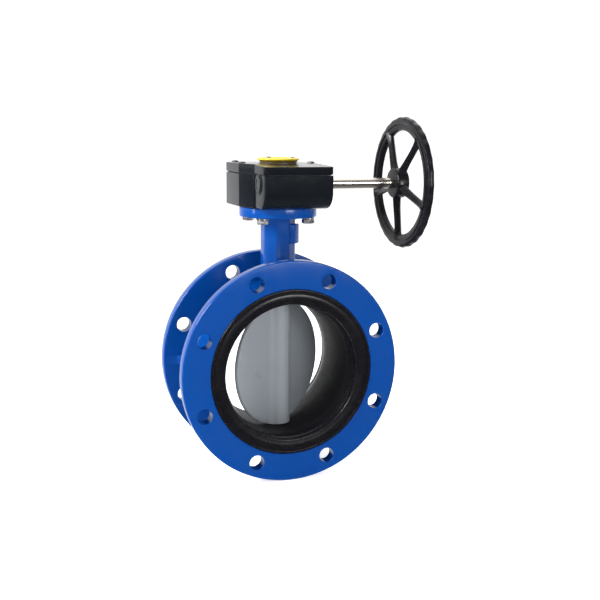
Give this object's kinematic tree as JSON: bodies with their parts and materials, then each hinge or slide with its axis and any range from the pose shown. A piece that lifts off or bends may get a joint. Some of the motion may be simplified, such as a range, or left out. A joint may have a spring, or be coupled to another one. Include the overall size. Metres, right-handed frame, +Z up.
{
  "type": "butterfly valve",
  "caption": "Double-flanged butterfly valve with rubber-lined bore, turning disc, worm gearbox with position dial, and a spoked handwheel on a side shaft.",
  "frame": {"origin": "where the pipe axis crosses the stem axis, midway between the two flange faces", "axes": "+Y along the pipe, from the inlet to the outlet flange; +Z up the stem to the gearbox; +X towards the handwheel"},
  "size_m": [0.356, 0.2575, 0.5515],
  "materials": {
    "body_epoxy": "blue fusion-bonded epoxy, slightly orange-peeled gloss",
    "liner_rubber": "moulded black rubber, semi-gloss",
    "disc_coating": "smooth grey nylon coating, satin",
    "stainless": "turned and polished",
    "dark_steel": "blackened",
    "zinc": "bright zinc plate",
    "bronze": "machined",
    "gear_iron": "machined and greased",
    "gearbox_paint": "gloss black over sand-cast iron",
    "wheel_paint": "gloss black",
    "dial_plastic": "moulded yellow plastic",
    "gasket": "matt jointing sheet"
  },
  "bodies": {
    "casing": {"valve_body": "body_epoxy", "seat_liner": "liner_rubber", "upper_bush": "bronze", "lower_bush": "bronze", "stem_seal": "liner_rubber", "stem_retainer": "dark_steel", "bottom_plug": "zinc", "plug_gasket": "gasket", "gearbox_housing": "gearbox_paint", "gearbox_cover": "gearbox_paint", "cover_gasket": "gasket", "worm_bearing_left": "bronze", "worm_bearing_right": "bronze", "worm_end_cap": "gearbox_paint", "shaft_seal": "liner_rubber", "wheel_bush": "bronze", "indicator_seal": "liner_rubber", "cover_screw_1": "dark_steel", "cover_screw_2": "dark_steel", "cover_screw_3": "dark_steel", "cover_screw_4": "dark_steel", "stop_bolt_1": "dark_steel", "stop_nut_1": "zinc", "stop_bolt_2": "dark_steel", "stop_nut_2": "zinc", "mounting_bolt_1": "zinc", "mounting_washer_1": "zinc", "mounting_bolt_2": "zinc", "mounting_washer_2": "zinc", "mounting_bolt_3": "zinc", "mounting_washer_3": "zinc", "mounting_bolt_4": "zinc", "mounting_washer_4": "zinc"},
    "disc_train": {"disc": "disc_coating", "upper_stem": "stainless", "lower_stem": "stainless", "disc_pin": "stainless", "stem_key": "dark_steel", "worm_wheel": "gear_iron", "indicator": "dial_plastic", "indicator_screw_1": "dark_steel", "indicator_screw_2": "dark_steel"},
    "wheel_train": {"worm": "dark_steel", "worm_pin": "dark_steel", "input_shaft": "stainless", "handwheel": "wheel_paint", "handwheel_pin": "dark_steel"}
  },
  "joints": [
    {"name": "disc_turn", "type": "hinge", "parent": "casing", "child": "disc_train", "pos_m": [0, 0, 0], "axis": [0, 0, 1], "range_deg": [-33, 57]},
    {"name": "wheel_turn", "type": "hinge", "parent": "casing", "child": "wheel_train", "pos_m": [0, -0.062, 0.282], "axis": [1, 0, 0], "range_deg": [-990, 1710]}
  ],
  "couplings": [
    {"joint": "wheel_turn", "follows": "disc_turn", "ratio": 30}
  ]
}
